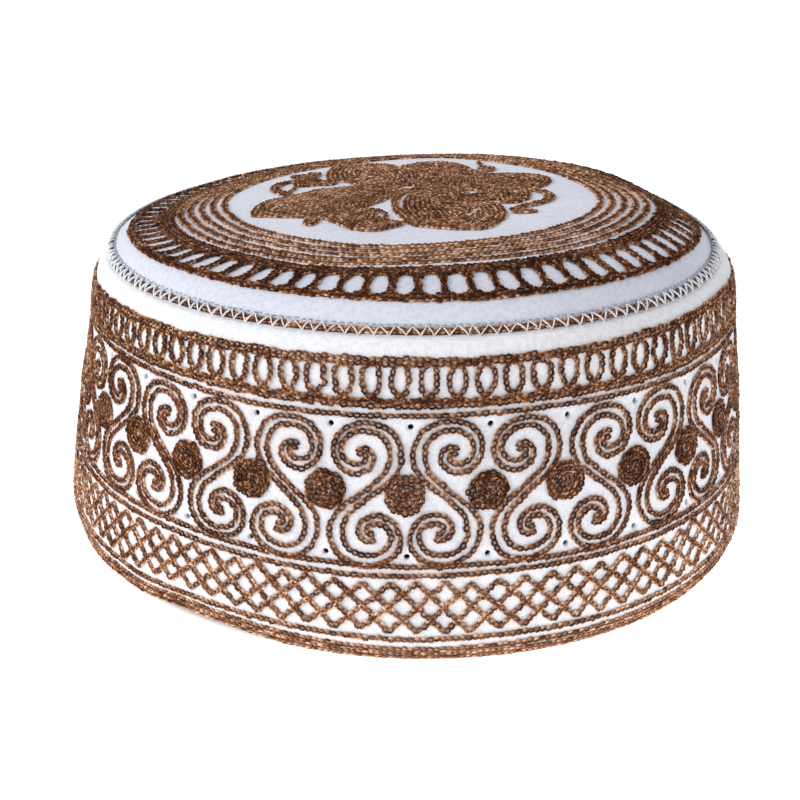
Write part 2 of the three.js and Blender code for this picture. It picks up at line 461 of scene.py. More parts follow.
# Floor, in metres: glow by distance right of the middle plus the shift, and by stretched distance from it
FLOOR_HALF = 6.0
GLOW_SHIFT = 0.5
GLOW_STRETCH = 2.0
GLOW_ACROSS = ((0.4, 0.33), (0.5, 0.52), (0.6, 0.95), (0.68, 0.55))
GLOW_AWAY = ((0.185, 0.0), (0.19, 1.0), (0.27, 1.0), (0.4, 0.35))

# Camera, and lights: name, direction that it comes from, spread in degrees, strength
CAMERA_PLACE = (-2.26, -330.0, 161.4)
CAMERA_PITCH = math.radians(22.7)
CAMERA_ROLL = math.radians(-1.607)
FOCAL_PIXELS = 1245.4
IMAGE_PIXELS = 800
SENSOR_WIDTH = 36.0
SUNS = (("key", (-0.9, -0.33, 0.4), 40.0, 1.82), ("fill", (0.5, -0.85, 0.1), 60.0, 0.24))
SKY_STRENGTH = 0.62


def unit(vectors):
    """Vectors brought to a length of 1."""
    return vectors / np.linalg.norm(vectors, axis=-1, keepdims=True)


def polar(radius, angle):
    """Flat points by radius and angle."""
    return np.stack([radius * np.cos(angle), radius * np.sin(angle)], axis=-1)


def mirrored(half):
    """A shape from its left half, which ends on the middle line."""
    return [*half, *((-right, up) for right, up in half[-2::-1])]


def share_between(value, low, high):
    """How far a value is on its way from low to high, from 0 to 1."""
    return np.clip((value - low) / (high - low), 0, 1)


def from_front(angle):
    """Degrees from the front, from -180 to 180 and positive towards the right."""
    return (np.degrees(angle - FRONT_ANGLE) + 180) % 360 - 180


def by_degree(table, angle):
    """Values at angles, from a table with a value for every whole degree."""
    return np.interp(from_front(angle), WHOLE_DEGREES, table)


def blended(values, angles=ROW_ANGLES):
    """Table with a value for every whole degree, its corners rounded."""
    even = np.interp(WHOLE_DEGREES[:-1], angles, values)
    window = np.hanning(2 * DRIFT_BLEND + 1)
    rounded = np.convolve(np.concatenate([even[-DRIFT_BLEND:], even, even[:DRIFT_BLEND]]), window, "valid")
    return np.append(rounded, rounded[0]) / window.sum()


def run_length(points):
    """Distance along a row of points, starting at 0."""
    steps = np.linalg.norm(np.diff(points, axis=0), axis=1)
    return np.concatenate([[0.0], np.cumsum(steps)])


def at_marks(marks, run, points):
    """Points of a row at distances along it."""
    return np.stack([np.interp(marks, run, column) for column in points.T], axis=1)


def smooth_curve(points, step=FACE_STEP, closed=False):
    """Smooth curve through points, with a point about every step. Columns past the second ride along."""
    points = np.array(points, dtype=float)
    if closed:
        points = np.vstack([points[-2:], points, points[:3]])
    run = run_length(points[:, :2])
    slope = np.gradient(points, run, axis=0)
    first, last = (run[2], run[-3]) if closed else (run[0], run[-1])
    fine = np.linspace(first, last, max(int((last - first) / step), FEWEST_STEPS) + 1)
    index = np.clip(np.searchsorted(run, fine, side="right") - 1, 0, len(run) - 2)
    gap = (run[index + 1] - run[index])[:, None]
    share = (fine - run[index])[:, None] / gap
    square, cube = share ** 2, share ** 3
    return (
        (2 * cube - 3 * square + 1) * points[index]
        + (cube - 2 * square + share) * gap * slope[index]
        + (3 * square - 2 * cube) * points[index + 1]
        + (cube - square) * gap * slope[index + 1]
    )


class Face:
    """Outer face of one cloth piece, by distance along the cloth."""

    def __init__(self, rows):
        curve = smooth_curve(rows)
        self.run = run_length(curve[:, :2])
        self.radius = curve[:, 0]
        along = unit(np.gradient(curve[:, :2], self.run, axis=0))
        self.columns = (*curve.T, along[:, 1], -along[:, 0])

    def place(self, run, angle, rise):
        """Points and outward directions by distance along the cloth, angle and rise off it."""
        values = (np.interp(run, self.run, column) for column in self.columns)
        radius, height, lean, squeeze, out_radius, out_height = values
        radius = radius + out_radius * rise - squeeze * np.cos(angle) ** SQUEEZE_POWER
        height = height + out_height * rise + lean * np.cos(angle)
        points = np.stack([radius * np.cos(angle), radius * np.sin(angle), height], axis=-1)
        tilt = lean / np.maximum(radius, 1.0)
        out_right = out_radius * np.cos(angle) - tilt * out_height
        out_back = out_radius * np.sin(angle)
        out_up = out_height * np.ones_like(angle)
        return points, unit(np.stack([out_right, out_back, out_up], axis=-1))


side_face = Face(SIDE_ROWS)
crown_face = Face(CROWN_ROWS)

DRIFT_LEVELS = np.array(list(ROW_DRIFT))
DRIFT_ROWS = [blended(values) for values in ROW_DRIFT.values()]
DRIFT_AROUND = blended(AROUND_DRIFT)
CROWN_DRIFTS = (blended(RING_DRIFT, CROWN_ANGLES), blended(LADDER_DRIFT, CROWN_ANGLES))
CROWN_SAGS = blended(CROWN_SAG, CROWN_ANGLES)
GAP_SPOTS = [(clearance, smooth_curve(way, GAP_STEP)) for clearance, way in GAPS]


def side_ripple(run, angle):
    """Soft waves of the side band's cloth, fading out at the rim and the seam."""
    fade = share_between(run, 0, SIDE_RIM_FADE) * share_between(side_face.run[-1] - run, 0, SIDE_SEAM_FADE)
    waves = 0.0
    for size, count, phase, change in SIDE_WAVES:
        waves = waves + size * np.sin(count * angle + phase + change * run)
    return fade * waves


def crown_ripple(run, angle):
    """Soft waves of the crown's cloth, fading out at the seam, and the sag of its back half."""
    radius = np.interp(run, crown_face.run, crown_face.radius)
    right, back = radius * np.cos(angle), radius * np.sin(angle)
    size, reach_right, phase_right, reach_back, phase_back = CROWN_WAVES
    waves = size * np.sin(right / reach_right + phase_right) * np.sin(back / reach_back + phase_back)
    size, reach = CROWN_SLANT_WAVE
    waves = waves + size * np.sin((right - back) / reach)
    sag = by_degree(CROWN_SAGS, angle) * share_between(radius, *SAG_RADII) * share_between(run, 0, SAG_FADE)
    return share_between(run, 0, CROWN_FADE) * waves - sag


def side_place(run, angle, rise=0.0):
    """Points of the side band's waved outer face, and their outward directions."""
    fade = share_between(RIM_WAVE_FADE - run, 0, RIM_WAVE_FADE) ** 2
    lifted, dented = 0.0, 0.0
    for middle, spread, lift, dent in RIM_WAVES:
        wave = fade * np.exp(-(((from_front(angle) - middle) / spread) ** 2))
        lifted = lifted + lift * wave
        dented = dented + dent * wave
    points, outward = side_face.place(run, angle, rise + side_ripple(run, angle) - dented)
    points[..., 2] = np.maximum(points[..., 2] + lifted, 0.0)
    return points, outward


def drifted(around, up):
    """Pattern points of the side band, moved to where the hand-guided work lies."""
    angle = FRONT_ANGLE + around / PATTERN_RADIUS
    rows = np.stack([by_degree(row, angle) for row in DRIFT_ROWS], axis=-1)
    level = np.interp(up, DRIFT_LEVELS, np.arange(len(DRIFT_LEVELS)))
    low = np.clip(level.astype(int), 0, len(DRIFT_LEVELS) - 2)
    below = np.take_along_axis(rows, low[..., None], axis=-1)[..., 0]
    above = np.take_along_axis(rows, low[..., None] + 1, axis=-1)[..., 0]
    drift = below + (level - low) * (above - below)
    return around + by_degree(DRIFT_AROUND, angle), up + share_between(up, 0, DRIFT_LEVELS[0]) * drift


def place_side(path, rise=0.0):
    """Pattern points of the side band (around, up) on its cloth."""
    around, run = drifted(path[..., 0], path[..., 1])
    return side_place(run, FRONT_ANGLE + around / PATTERN_RADIUS, rise)


def place_crown(path, rise=0.0):
    """Pattern points of the crown (right, back) on its cloth."""
    even = np.hypot(path[..., 0], path[..., 1])
    angle = np.arctan2(path[..., 1], path[..., 0])
    rings, ladder = (by_degree(drift, angle) for drift in CROWN_DRIFTS)
    near_rings = share_between(even, *RING_DRIFT_RADII)
    near_ladder = share_between(even, *LADDER_DRIFT_RADII)
    radius = even + near_rings * (rings + near_ladder * (ladder - rings))
    run = np.interp(-radius, -crown_face.radius, crown_face.run)
    return crown_face.place(run, angle, rise + crown_ripple(run, angle))


def chain(path, place, pitch=LINK_LENGTH, rise=0.0):
    """Links of chain stitch along a pattern path: each one's start, end and outward direction."""
    points, outward = place(np.asarray(path, dtype=float), rise)
    run = run_length(points)
    marks = np.linspace(0, run[-1], max(1, round(run[-1] / pitch)) + 1)
    knots = at_marks(marks, run, points)
    out = unit(at_marks((marks[:-1] + marks[1:]) / 2, run, outward))
    return np.stack([knots[:-1], knots[1:], out], axis=1)


def grid_faces(rows, columns):
    """Quads of a grid that closes on itself both ways, cell by cell."""
    row, column = np.meshgrid(np.arange(rows), np.arange(columns), indexing="ij")
    after, beside = (row + 1) % rows, (column + 1) % columns
    corners = ((row, column), (row, beside), (after, beside), (after, column))
    return np.stack([up * columns + across for up, across in corners], axis=-1).reshape(-1, 4)


def link_template():
    """One link as sections round its loop: vertices (along, aside, up), painted light (shade at the joins,
    highlight between them) and ply phase.
    """
    loop = np.array(LINK_LOOP)
    ahead = unit(np.roll(loop, -1, axis=0) - np.roll(loop, 1, axis=0))
    aside = unit(np.cross(ahead, (0.0, 0.0, 1.0)))
    lift = np.cross(aside, ahead)
    turns = FRONT_ANGLE - TURN * (np.arange(STRAND_SIDES) + 0.5) / STRAND_SIDES
    wide, tall = np.cos(turns)[:, None], STRAND_FLATNESS * np.sin(turns)[:, None]
    section = wide * aside[:, None] + tall * lift[:, None]
    vertices = (loop[:, None] + STRAND_RADIUS * section).reshape(-1, 3)
    from_join = np.minimum(abs(vertices[:, 0]), abs(vertices[:, 0] - LINK_LENGTH))
    # Painted light: painted shade at the joins, painted highlight between them
    light = 1 - np.exp(-((np.hypot(from_join, vertices[:, 1]) / JOIN_SHADE_SPREAD) ** 2))
    ply = run_length(loop)[:, None] / PLY_LENGTH + np.arange(STRAND_SIDES) / STRAND_SIDES
    return vertices, light, ply.ravel()


TEMPLATE, TEMPLATE_PAINTED_LIGHT, TEMPLATE_PLY = link_template()
TEMPLATE_FACES = grid_faces(len(LINK_LOOP), STRAND_SIDES)


def new_object(name, data):
    """Object in the scene from a mesh, light or camera."""
    thing = bpy.data.objects.new(name, data)
    bpy.context.scene.collection.objects.link(thing)
    return thing


def write_mesh(name, vertices, faces, material, **values):
    """Smooth mesh object from vertices in millimetres and quads, with named values per vertex."""
    mesh = bpy.data.meshes.new(name)
    mesh.vertices.add(len(vertices))
    mesh.vertices.foreach_set("co", (vertices * METRES).astype(np.float32).ravel())
    mesh.loops.add(faces.size)
    mesh.loops.foreach_set("vertex_index", faces.astype(np.int32).ravel())
    mesh.polygons.add(len(faces))
    mesh.polygons.foreach_set("loop_start", np.arange(0, faces.size, faces.shape[1], dtype=np.int32))
    mesh.polygons.foreach_set("use_smooth", np.ones(len(faces), dtype=bool))
    mesh.update(calc_edges=True)
    for key, numbers in values.items():
        layer = mesh.attributes.new(key, "FLOAT", "POINT")
        layer.data.foreach_set("value", numbers.astype(np.float32).ravel())
    mesh.validate()
    mesh.materials.append(material)
    return new_object(name, mesh)


def link_frames(links, loose):
    """Each link's length and its directions along, aside and up, turned a little by hand."""
    along = links[:, 1] - links[:, 0]
    length = np.linalg.norm(along, axis=1)
    along /= length[:, None]
    aside = unit(np.cross(links[:, 2], along))
    up = np.cross(along, aside)
    yaw = rng.normal(0, YAW_SPREAD * loose, len(links))[:, None]
    turned = along * np.cos(yaw) + aside * np.sin(yaw)
    aside = aside * np.cos(yaw) - along * np.sin(yaw)
    return length, np.stack([turned, aside, up], axis=1)


def stitch_piece(name, links, material, width=1.0, loose=1.0, tint=0.0):
    """One mesh of all the links, each with a little of its own size, turn and tone.

    width widens the links, loose scales how unevenly they lie and tint lightens their tone.
    """
    links = np.concatenate(links)
    count = len(links)
    length, directions = link_frames(links, loose)
    shape = np.repeat(TEMPLATE[None], count, axis=0)
    shape[:, :, 0] *= (length / LINK_LENGTH)[:, None]
    shape[:, :, 1] *= (width * rng.normal(1.0, WIDTH_SPREAD, count))[:, None]
    shape[:, :, 1] += rng.normal(0, ASIDE_SPREAD * loose, count)[:, None]
    shape[:, :, 2] *= rng.normal(1.0, HEIGHT_SPREAD, count)[:, None]
    vertices = links[:, :1] + np.einsum("nka,nac->nkc", shape, directions)
    vertices[..., 2] = np.maximum(vertices[..., 2], FLOOR_GAP)
    faces = TEMPLATE_FACES[None] + (np.arange(count) * len(TEMPLATE))[:, None, None]
    own = (TONE_LOW + TONE_RANGE * rng.random(count))[:, None]
    uneven = SIDE_TONE_SPREAD * rng.normal(0, 1, count).clip(-SIDE_TONE_LIMIT, SIDE_TONE_LIMIT)
    both = own + uneven[:, None] * np.sign(TEMPLATE[:, 1])[None]
    # Each link's tone: its own random tone times the painted light, painted shade at the joins and painted
    # highlight between them
    tone = np.maximum(tint + TEMPLATE_PAINTED_LIGHT[None] * both, DARKEST_TONE)
    ply = np.tile(TEMPLATE_PLY, count)
    return write_mesh(name, vertices.reshape(-1, 3), faces.reshape(-1, 4), material, tone=tone, ply=ply)


def wander(around, size, seed):
    """A hand-guided line's small drift along a closed way round."""
    own = np.random.default_rng(seed)
    turn = TURN * around / PATTERN_AROUND
    drift = np.zeros_like(around)
    for waves in WANDER_WAVES:
        drift += own.normal(0, 1) / math.sqrt(waves) * np.sin(waves * turn + own.uniform(0, TURN))
    return size * drift


def side_line(height, size, seed):
    """Path of a straight line of stitching right round the side band."""
    around = np.linspace(0, PATTERN_AROUND, LINE_POINTS)
    return np.stack([around, height + wander(around, size, seed)], axis=1)


def crown_line(radius, size, seed):
    """Path of a ring of stitching on the crown."""
    angle = np.linspace(0, TURN, RING_POINTS)
    return polar(radius + wander(angle * PATTERN_RADIUS, size, seed), angle)


def side_lines(material):
    """Single lines of stitching and the hem's rows."""
    paths = [side_line(height, LINE_WANDER, seed) for seed, height in enumerate(LINE_HEIGHTS)]
    links = [chain(path, place_side) for path in paths]
    tints = np.repeat(LINE_TINTS, [len(line) for line in links])[:, None]
    return stitch_piece("stitch_lines", links, material, tint=tints)


def lattice_line(number, phase):
    """Links of one of the lattice's zigzag lines, stretch by stretch."""
    period = PATTERN_AROUND / LATTICE_PERIODS
    corners = np.arange(2 * LATTICE_PERIODS + 1)
    around = corners * period / 2 + (phase / PHASES_IN_PERIOD * period + LATTICE_SHIFT)
    up = np.where(corners % 2 == 0, LATTICE_LOW, LATTICE_HIGH) + rng.normal(0, CORNER_SPREAD, len(corners))
    around = around + rng.normal(0, PLACE_SPREAD, len(corners))
    around[-1], up[-1] = around[0] + PATTERN_AROUND, up[0]
    ends = np.stack([around, up], axis=1)
    share = np.linspace(0, 1, LATTICE_POINTS)[:, None]
    paths = [low * (1 - share) + high * share for low, high in zip(ends, ends[1:])]
    return [chain(path, place_side, rise=LATTICE_OVERLAY * (number % 2)) for path in paths]


def lattice(material):
    """Lattice above the hem: zigzag lines that cross each other."""
    links = []
    for number, phase in enumerate(LATTICE_PHASES):
        links.extend(lattice_line(number, phase))
    return stitch_piece("stitch_lattice", links, material, width=1.08, loose=1.4, tint=0.17)


def scrolls(material):
    """Row of S scrolls, every other one mirrored, each of two chains from curl to curl."""
    inner = smooth_curve(SCROLL_INNER, CHAIN_STEP)
    outer = smooth_curve(SCROLL_OUTER, CHAIN_STEP)
    one = np.vstack([inner[::-1], -outer])
    other = -one[::-1]
    links = []
    for unit_number in range(UNITS_AROUND):
        mirror = 1 if unit_number % 2 == 0 else -1
        right = (unit_number + 0.5) * UNIT_PITCH + rng.normal(0, PLACE_SPREAD)
        up = SCROLL_MIDDLE + rng.normal(0, PLACE_SPREAD)
        for path in (one, other):
            path = path * (mirror, 1.0) * rng.normal(1.0, SCROLL_SIZE_SPREAD) + (right, up)
            links.append(chain(path, place_side))
    return stitch_piece("stitch_scrolls", links, material, width=1.07, tint=0.05)


def dots(material):
    """Round dots between the scrolls, each a tight spiral of chain stitch."""
    links = []
    turn = np.linspace(0, 1 + DOT_RADIUS / DOT_SPACING, DOT_POINTS)
    radius = DOT_RADIUS - DOT_SPACING * np.maximum(turn - DOT_OUTER_TURNS, 0)
    radius = np.clip(radius, DOT_LEAST_RADIUS, None)
    for dot in range(UNITS_AROUND):
        path = polar(radius, TURN * turn + rng.uniform(0, TURN))
        right = dot * UNIT_PITCH + rng.normal(0, PLACE_SPREAD)
        up = SCROLL_MIDDLE + DOT_RISE + rng.normal(0, PLACE_SPREAD)
        links.append(chain(path + (right, up), place_side, DOT_LINK_LENGTH, OVERLAY))
    return stitch_piece("stitch_dots", links, material, loose=2.2, tint=-0.06)


def side_ladder(material):
    """Ladder of ovals under the shoulder, between a single and a double line."""
    links = []
    shape = smooth_curve(mirrored(SIDE_OVAL_HALF), CHAIN_STEP)
    for oval in range(SIDE_OVALS):
        path = shape * (rng.normal(1.0, SIDE_OVAL_SPREAD), 1.0)
        right = oval * (PATTERN_AROUND / SIDE_OVALS) + SIDE_OVAL_SHIFT
        links.append(chain(path + (right, rng.normal(0, OVAL_PLACE_SPREAD)), place_side, rise=OVERLAY))
    for seed, height in enumerate(SIDE_LADDER_ROWS, SIDE_LADDER_SEED):
        links.append(chain(side_line(height, LADDER_WANDER, seed), place_side))
    return stitch_piece("stitch_side_ladder", links, material, width=1.06, loose=1.6, tint=0.04)


def crown_rings(material):
    """Single rings of stitching around the medallion."""
    paths = [crown_line(radius, RING_WANDER, seed) for seed, radius in enumerate(CROWN_RINGS, RING_SEED)]
    links = [chain(path, place_crown) for path in paths]
    return stitch_piece("stitch_crown_rings", links, material, width=1.36, tint=0.16)


def crown_ladder(material):
    """Ladder of ovals along the crown's shoulder."""
    links = []
    shape = smooth_curve(mirrored(CROWN_OVAL_HALF), CHAIN_STEP)
    for oval in range(CROWN_OVALS):
        across, radius = (shape * (rng.normal(1.0, CROWN_OVAL_SPREAD), 1.0)).T
        angle = FRONT_ANGLE + (across + CROWN_OVAL_SHIFT) / CROWN_OVAL_RADIUS + TURN * oval / CROWN_OVALS
        links.append(chain(polar(radius, angle), place_crown, rise=OVERLAY))
    for seed, radius in enumerate(CROWN_LADDER_ROWS, CROWN_LADDER_SEED):
        links.append(chain(crown_line(radius, LADDER_WANDER, seed), place_crown))
    return stitch_piece("stitch_crown_ladder", links, material, width=1.12, loose=1.6, tint=-0.08)


def fill_rows(edge):
    """Rows that fill a closed outline: parallel to it, as far in as the middle ridge."""
    ahead = unit(np.roll(edge, -1, axis=0) - np.roll(edge, 1, axis=0))
    inward = np.stack([-ahead[:, 1], ahead[:, 0]], axis=1)
    after = np.roll(edge, -1, axis=0)
    if np.sum(edge[:, 0] * after[:, 1] - after[:, 0] * edge[:, 1]) < 0:
        inward = -inward
    limit = np.zeros(len(edge))
    for depth in np.arange(DEPTH_STEP, DEEPEST_ROW, DEPTH_STEP):
        kept = reach_to(edge + inward * depth, edge) > depth - RIDGE_TOLERANCE
        if not kept.any():
            break
        limit[kept] = depth
    rows = []
    for depth in np.arange(FIRST_ROW_DEPTH, limit.max(), FILL_SPACING):
        rows.extend(kept_runs(edge + inward * depth, limit >= depth))
    return rows


def inside(points, edge):
    """Whether each point lies inside a closed outline."""
    after = np.roll(edge, -1, axis=0)
    right, back = points[:, None, 0], points[:, None, 1]
    spans = (edge[:, 1] > back) != (after[:, 1] > back)
    rise = np.where(after[:, 1] == edge[:, 1], 1.0, after[:, 1] - edge[:, 1])
    crossing = edge[:, 0] + (back - edge[:, 1]) / rise * (after[:, 0] - edge[:, 0])
    return (spans & (right < crossing)).sum(axis=1) % 2 == 1


def reach_to(points, others):
    """Distance from each point to the nearest of the others."""
    return np.linalg.norm(points[:, None] - others[None], axis=2).min(axis=1)


def bare_spots(edge):
    """Spots on a grid inside an outline that stitching should cover."""
    across, away = (np.arange(low, high, PATCH_GRID) for low, high in zip(edge.min(axis=0), edge.max(axis=0)))
    spots = np.stack(np.meshgrid(across, away), axis=-1).reshape(-1, 2)
    spots = spots[inside(spots, edge)]
    spots = spots[reach_to(spots, edge) > FIRST_ROW_DEPTH]
    for clearance, gap in GAP_SPOTS:
        spots = spots[reach_to(spots, gap) > clearance]
    return spots


def patches(edge, paths):
    """Short rows over the spots inside an outline that its rows leave bare."""
    spots = bare_spots(edge)
    reach = reach_to(spots, np.concatenate(paths))
    short = []
    while reach.max() > BARE_REACH:
        middle = spots[reach.argmax()]
        near = np.linalg.norm(spots - middle, axis=1) < PATCH_REACH
        bare = spots[(reach > BARE_REACH - BARE_MARGIN) & near] - middle
        along = np.linalg.svd(bare, full_matrices=False)[2][0] if len(bare) > 2 else np.array([1.0, 0.0])
        row = middle + PATCH_POINTS[:, None] * along
        short.append(row)
        reach = np.minimum(reach, reach_to(spots, row))
    return short


def kept_runs(points, kept):
    """Stretches of a closed row of points whose points are all kept."""
    if kept.all():
        return [np.vstack([points, points[:1]])]
    first = int(np.argmin(kept))
    points, kept = np.roll(points, -first, axis=0), np.roll(kept, -first)
    ends = np.flatnonzero(np.diff(np.concatenate([[0], kept.astype(int), [0]])))
    return [points[low:high] for low, high in zip(ends[::2], ends[1::2]) if high - low >= FEWEST_POINTS]


def round_gaps(path):
    """A row pushed aside where it would cover a gap, in the stretches that stay whole."""
    path = path.copy()
    for clearance, gap in GAP_SPOTS:
        nearest = gap[np.linalg.norm(path[:, None] - gap[None], axis=2).argmin(axis=1)]
        away = path - nearest
        distance = np.linalg.norm(away, axis=1)
        near = distance < clearance
        path[near] = nearest[near] + away[near] * (clearance / np.maximum(distance[near], 0.01))[:, None]
    steps = np.linalg.norm(np.diff(path, axis=0), axis=1)
    parts = np.split(path, np.flatnonzero(steps > ROW_BREAK) + 1)
    return [part for part in parts if len(part) >= FEWEST_POINTS]


def filled(outlines, rise=0.0):
    """Links that fill closed outlines on the crown."""
    links = []
    for outline in outlines:
        edge = smooth_curve(outline, OUTLINE_STEP, closed=True)
        rows = [part for row in fill_rows(edge) for part in round_gaps(row)]
        for row in patches(edge, rows):
            rows.extend(round_gaps(row))
        links.extend(chain(row, place_crown, rise=rise) for row in rows)
    return links


def petals(material):
    """Medallion's four petals, filled with stitching."""
    return stitch_piece("stitch_petals", filled(PETALS.values()), material, loose=1.5, tint=0.13)


def bud_outline(right, back, half_width, half_depth):
    """Closed oval outline of a bud."""
    angle = np.linspace(0, TURN, BUD_POINTS, endpoint=False)
    return polar(1.0, angle) * (half_width, half_depth) + (right, back)


def flourishes(material):
    """Medallion's lobes, buds and curls between the petals."""
    links = filled([*LOBES.values(), *(bud_outline(*bud) for bud in BUDS.values())], LOBE_OVERLAY)
    for curl in CURLS.values():
        links.append(chain(smooth_curve(curl), place_crown, rise=CURL_OVERLAY))
    return stitch_piece("stitch_flourishes", links, material, loose=1.5, tint=0.13)


def place_seam(path, rise=0.0):
    """Points around the seam: angle, and distance across it with the crown's side positive."""
    angle, offset = path[..., 0], path[..., 1]
    below, below_out = side_face.place(side_face.run[-1] + np.minimum(offset, 0), angle, rise)
    above, above_out = crown_face.place(np.maximum(offset, 0), angle, rise)
    on_crown = (offset > 0)[..., None]
    return np.where(on_crown, above, below), np.where(on_crown, above_out, below_out)


def braid_spread(angle):
    """Distance between the seam's two chains: wider towards the cap's right."""
    return BRAID_SPREAD[0] + BRAID_SPREAD[1] * np.cos(angle)


def seam_braid(material):
    """Brown chains along the seam."""
    angle = np.linspace(0, TURN, BRAID_POINTS) + FRONT_ANGLE
    paths = [np.stack([angle, side * braid_spread(angle)], axis=1) for side in (-0.5, 0.5)]
    links = [chain(path, place_seam) for path in paths]
    return stitch_piece("stitch_seam", links, material, width=0.85, tint=0.14)


def towards_sides(values, angle):
    """A value that changes from the front to the sides, and stays so to the back."""
    return values[0] + (values[1] - values[0]) * share_between(abs(from_front(angle)), *ZIGZAG_CHANGE)


def tube(path, radius, sides):
    """Vertices and quads of a tube along a closed path."""
    ahead = unit(np.roll(path, -1, axis=0) - np.roll(path, 1, axis=0))
    aside = unit(np.cross(ahead, unit(path * (1, 1, 0))))
    up = np.cross(aside, ahead)
    turn = -TURN * np.arange(sides) / sides
    ring = np.cos(turn)[:, None] * aside[:, None] + np.sin(turn)[:, None] * up[:, None]
    return (path[:, None] + radius * ring).reshape(-1, 3), grid_faces(len(path), sides)


def seam_zigzag(material):
    """White thread that zigzags over the braid."""
    corner = np.arange(2 * ZIGZAG_PERIODS)
    count = len(corner)
    angle = FRONT_ANGLE + TURN * (corner + rng.normal(0, ZIGZAG_CORNER_SPREAD, count)) / count
    reach = towards_sides(ZIGZAG_REACH, angle) + braid_spread(angle) / 2
    reach = reach + rng.normal(0, ZIGZAG_REACH_SPREAD, count)
    corners = np.stack([angle, np.where(corner % 2 == 0, reach, -reach)], axis=1)
    after = np.roll(corners, -1, axis=0)
    after[-1, 0] += TURN
    share = ZIGZAG_SHARES[None, :, None]
    path = (corners[:, None] * (1 - share) + after[:, None] * share).reshape(-1, 2)
    points, _ = place_seam(path, np.tile(ZIGZAG_LIFTS, count))
    radius = towards_sides(ZIGZAG_RADIUS, path[:, 0])
    return write_mesh("seam_zigzag", *tube(points, radius[:, None, None], THREAD_SIDES), material)


def seam_dashes(material):
    """Short grey machine stitches along the crown's side of the seam."""
    vertices = []
    for dash in range(DASH_COUNT):
        middle = FRONT_ANGLE + TURN * (dash + rng.normal(0, DASH_PLACE_SPREAD)) / DASH_COUNT
        half = rng.uniform(*DASH_HALF_LENGTH) * TURN / DASH_COUNT
        angle = np.linspace(middle - half, middle + half, len(DASH_LIFTS))
        reach = towards_sides(ZIGZAG_REACH, angle) - ZIGZAG_REACH[0]
        offset = DASH_OFFSET + reach + braid_spread(angle) / 2 + rng.normal(0, DASH_OFFSET_SPREAD)
        points, _ = place_seam(np.stack([angle, offset], axis=1), DASH_LIFTS)
        dash_vertices, quads = tube(points, DASH_RADIUS, THREAD_SIDES)
        vertices.append(dash_vertices)
    count = len(dash_vertices)
    ends = (np.arange(THREAD_SIDES)[::-1], np.arange(count - THREAD_SIDES, count))
    one = np.vstack([quads[:-THREAD_SIDES], *ends])
    faces = (one[None] + count * np.arange(DASH_COUNT)[:, None, None]).reshape(-1, 4)
    return write_mesh("seam_dashes", np.concatenate(vertices), faces, material)


def seam_cord(material):
    """Brown cord that fills the seam under the braid."""
    angle = TURN * np.arange(SEAM_CORD_POINTS) / SEAM_CORD_POINTS
    path, _ = side_face.place(np.full(SEAM_CORD_POINTS, side_face.run[-1]), angle, -SEAM_CORD_DEPTH)
    vertices, faces = tube(path, SEAM_CORD_RADIUS, SEAM_CORD_SIDES)
    tone = np.full(len(vertices), SEAM_CORD_TONE)
    return write_mesh("seam_cord_dressed", vertices, faces, material, tone=tone, ply=0 * tone)


def cloth_grid(rows, columns):
    """Distances along the cloth and angles of a grid's vertices."""
    angle = FRONT_ANGLE + TURN * np.arange(columns) / columns
    return np.meshgrid(rows, angle, indexing="ij")


def side_rows():
    """Distances up the side cloth of its grid's rows: even, and closer around the eyelets."""
    steps = EYELET_ROW_STEP * np.arange(-BLOCK_HALF, BLOCK_HALF + 1)
    low_block, high_block = (height + steps for height in sorted(EYELET_HEIGHTS))
    top = side_face.run[-1] - SEAM_HALF_WIDTH
    spans = ((0.0, low_block[0]), (low_block[-1], high_block[0]), (high_block[-1], top))
    rows = [low_block, high_block]
    for low, high in spans:
        rows.append(np.linspace(low, high, max(2, round((high - low) / SIDE_ROW_STEP)) + 1))
    return np.unique(np.round(np.concatenate(rows), 6))


def block_edge(row, column, step):
    """Vertices round the block of cells about a grid vertex, from its lower left corner."""
    end = np.full(2 * BLOCK_HALF, BLOCK_HALF)
    up = np.concatenate([-end, BLOCK, end, -BLOCK])
    across = np.concatenate([BLOCK, end, -BLOCK, -end])
    return (row + step * up) * SIDE_COLUMNS + (column + across) % SIDE_COLUMNS


def eyelet_points(around, height):
    """Vertices of one eyelet's rings, from the outer face in."""
    spots = TURN * np.arange(BLOCK_SPOTS) / BLOCK_SPOTS - 3 * math.pi / 4
    middle = FRONT_ANGLE + around / PATTERN_RADIUS
    rings = []
    for radius, rise in EYELET_RINGS:
        angle = middle + radius * np.cos(spots) / PATTERN_RADIUS
        rings.append(side_place(height + radius * np.sin(spots), angle, rise)[0])
    return np.concatenate(rings)


def ring_faces(rings):
    """Quads between rings of vertices, each ring and the next."""
    after = np.roll(rings, -1, axis=1)
    return np.stack([rings[:-1], after[:-1], after[1:], rings[1:]], axis=-1).reshape(-1, 4)


